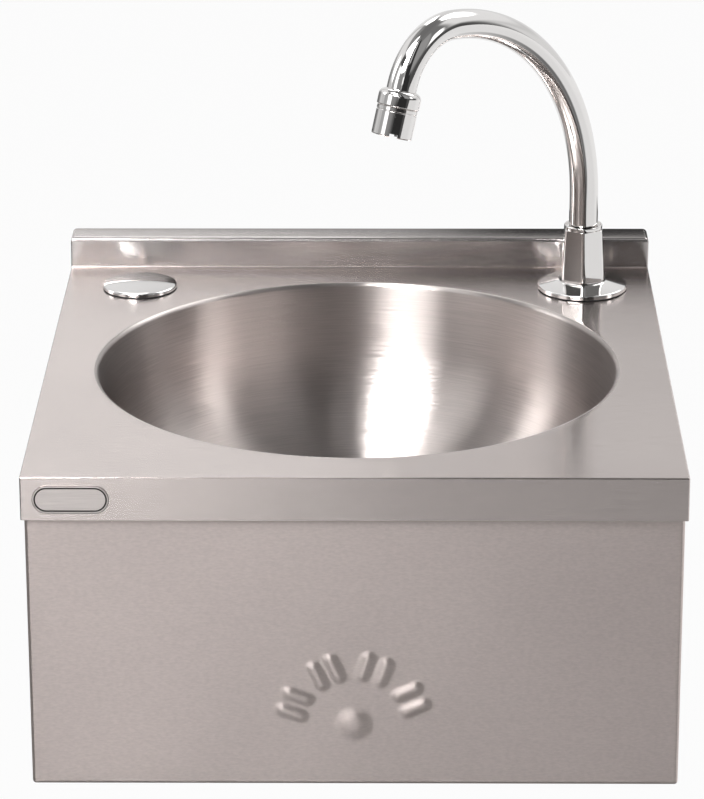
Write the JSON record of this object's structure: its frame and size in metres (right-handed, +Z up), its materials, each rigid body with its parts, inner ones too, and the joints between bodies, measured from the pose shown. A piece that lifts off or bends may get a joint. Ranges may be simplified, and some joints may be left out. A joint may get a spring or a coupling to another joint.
{
  "type": "knee-operated wash basin",
  "caption": "Wall-hung stainless hand basin with a round bowl, a swinging knee panel that works a self-closing valve, and a swivelling swan-neck spout.",
  "frame": {"origin": "middle of the wall fixing holes, on the wall plane", "axes": "+X to the user's right, +Y into the wall, +Z up"},
  "size_m": [0.385, 0.41, 0.4059],
  "materials": {
    "brushed_sheet": "satin brushed stainless",
    "chrome_trim": "polished chrome plate",
    "zinc_hardware": "bright zinc plate",
    "valve_brass": "plain machined brass",
    "rubber_seal": "matt black",
    "nylon": "natural nylon",
    "steel_pipe": "drawn stainless tube",
    "waste_plastic": "moulded plastic"
  },
  "bodies": {
    "basin": {"deck": "brushed_sheet", "bowl": "brushed_sheet", "back_plate": "brushed_sheet", "right_cheek": "brushed_sheet", "left_cheek": "brushed_sheet", "hinge_pins": "zinc_hardware", "stop_pins": "zinc_hardware", "hinge_washers": "nylon", "deck_nuts": "zinc_hardware", "valve_body": "valve_brass", "valve_bracket": "brushed_sheet", "bracket_rivets": "zinc_hardware", "valve_nut": "valve_brass", "outlet_pipe": "steel_pipe", "pipe_nut_lower": "valve_brass", "pipe_nut_upper": "valve_brass", "spout_flange": "chrome_trim", "spout_pillar": "chrome_trim", "spout_seal": "rubber_seal", "swivel_collar": "chrome_trim", "swivel_seal": "rubber_seal", "spout_under_seal": "rubber_seal", "spout_washer": "zinc_hardware", "spout_back_nut": "valve_brass", "tap_hole_cap": "chrome_trim", "cap_seal": "rubber_seal", "cap_washer": "nylon", "cap_wing_nut": "nylon", "waste_flange": "chrome_trim", "waste_tail": "waste_plastic", "waste_screw": "zinc_hardware", "waste_top_seal": "rubber_seal", "waste_bottom_seal": "rubber_seal"},
    "knee_panel": {"knee_panel": "brushed_sheet", "push_bolt": "zinc_hardware", "panel_weld_nut": "zinc_hardware", "push_lock_nut": "zinc_hardware"},
    "plunger": {"valve_plunger": "chrome_trim"},
    "spout": {"spout_tube": "chrome_trim", "outlet_collar": "chrome_trim", "aerator_housing": "chrome_trim", "aerator_insert": "nylon", "aerator_washer": "rubber_seal"}
  },
  "joints": [
    {"name": "panel_hinge", "type": "hinge", "parent": "basin", "child": "knee_panel", "pos_m": [0, -0.394, 0.086], "axis": [1, 0, 0], "range_deg": [0, 5.5], "stiffness_Nm_per_rad": 15, "springref_deg": -4.01},
    {"name": "plunger_slide", "type": "slide", "parent": "basin", "child": "plunger", "axis": [0, 1, 0], "range_m": [0, 0.0125]},
    {"name": "spout_swivel", "type": "hinge", "parent": "basin", "child": "spout", "pos_m": [0.1465, -0.064, 0.1416], "axis": [0, 0, 1], "range_deg": [-58, 145]}
  ],
  "couplings": [
    {"joint": "plunger_slide", "follows": "panel_hinge", "m_per_rad": 0.124}
  ]
}
